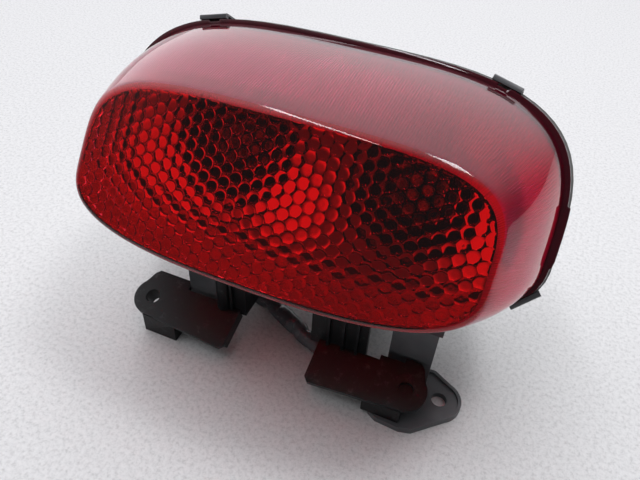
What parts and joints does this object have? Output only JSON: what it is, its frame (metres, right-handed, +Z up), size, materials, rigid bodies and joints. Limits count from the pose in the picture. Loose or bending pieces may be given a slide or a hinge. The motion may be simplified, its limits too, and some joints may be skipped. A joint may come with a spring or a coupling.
{
  "type": "motorcycle tail light",
  "caption": "Wide red tail light with a domed oval lens, twin bulb sockets that twist out of the back, and black bracket legs with mounting holes.",
  "frame": {"origin": "middle of the footprint, on the surface that the part stands on", "axes": "+X across the lamp, the lens faces -Y, +Z up"},
  "size_m": [0.2098, 0.1387, 0.1291],
  "materials": {
    "lens_red": "clear red acrylic, polished outside, with moulded optics inside",
    "rubber_black": "soft black rubber",
    "housing_grey": "grey moulded ABS",
    "reflector": "vacuum metallised plastic",
    "clip_dark": "dark grey moulded clip",
    "bracket_black": "black moulded nylon with a slight sheen",
    "stay_charcoal": "charcoal moulded plastic",
    "screw_steel": "zinc plated steel",
    "wire_black": "black PVC wire",
    "vinyl_sleeve": "satin black vinyl tubing",
    "connector_white": "natural nylon",
    "brass_contact": "bright brass",
    "socket_black": "black thermoplastic",
    "contact_board": "brown phenolic board",
    "spring_steel": "bright spring steel",
    "bulb_glass": "clear bulb glass"
  },
  "bodies": {
    "lamp": {"lens": "lens_red", "lens_seal": "rubber_black", "housing": "housing_grey", "reflector_panel": "reflector", "left_reflector_bowl": "reflector", "right_reflector_bowl": "reflector", "lens_clips": "clip_dark", "left_bracket": "bracket_black", "right_bracket": "bracket_black", "left_stay": "stay_charcoal", "right_stay": "stay_charcoal", "bracket_screws": "screw_steel", "stay_screws": "screw_steel", "right_nut_insert": "bracket_black", "vent_cap": "rubber_black", "left_lead": "wire_black", "right_lead": "wire_black", "harness_clip": "rubber_black", "harness_sleeve": "vinyl_sleeve", "connector": "connector_white", "connector_terminals": "brass_contact"},
    "left_socket_body": {"left_socket": "socket_black", "left_socket_seal": "rubber_black", "left_contact_plate": "contact_board", "left_contact_spring": "spring_steel"},
    "left_bulb_body": {"left_bulb_glass": "bulb_glass", "left_bulb_cap": "brass_contact", "left_bulb_filaments": "spring_steel"},
    "right_socket_body": {"right_socket": "socket_black", "right_socket_seal": "rubber_black", "right_contact_plate": "contact_board", "right_contact_spring": "spring_steel"},
    "right_bulb_body": {"right_bulb_glass": "bulb_glass", "right_bulb_cap": "brass_contact", "right_bulb_filaments": "spring_steel"}
  },
  "joints": [
    {"name": "left_socket_twist", "type": "hinge", "parent": "lamp", "child": "left_socket_body", "pos_m": [-0.044, 0.04223, 0.05671], "axis": [0, 0.81, -0.5864], "range_deg": [-45, 0]},
    {"name": "left_bulb_turn", "type": "hinge", "parent": "left_socket_body", "child": "left_bulb_body", "pos_m": [-0.044, 0.03899, 0.05906], "axis": [0, 0.81, -0.5864], "range_deg": [0, 16]},
    {"name": "right_socket_twist", "type": "hinge", "parent": "lamp", "child": "right_socket_body", "pos_m": [0.044, 0.04223, 0.05671], "axis": [0, 0.81, -0.5864], "range_deg": [-45, 0]},
    {"name": "right_bulb_turn", "type": "hinge", "parent": "right_socket_body", "child": "right_bulb_body", "pos_m": [0.044, 0.03899, 0.05906], "axis": [0, 0.81, -0.5864], "range_deg": [0, 16]}
  ]
}
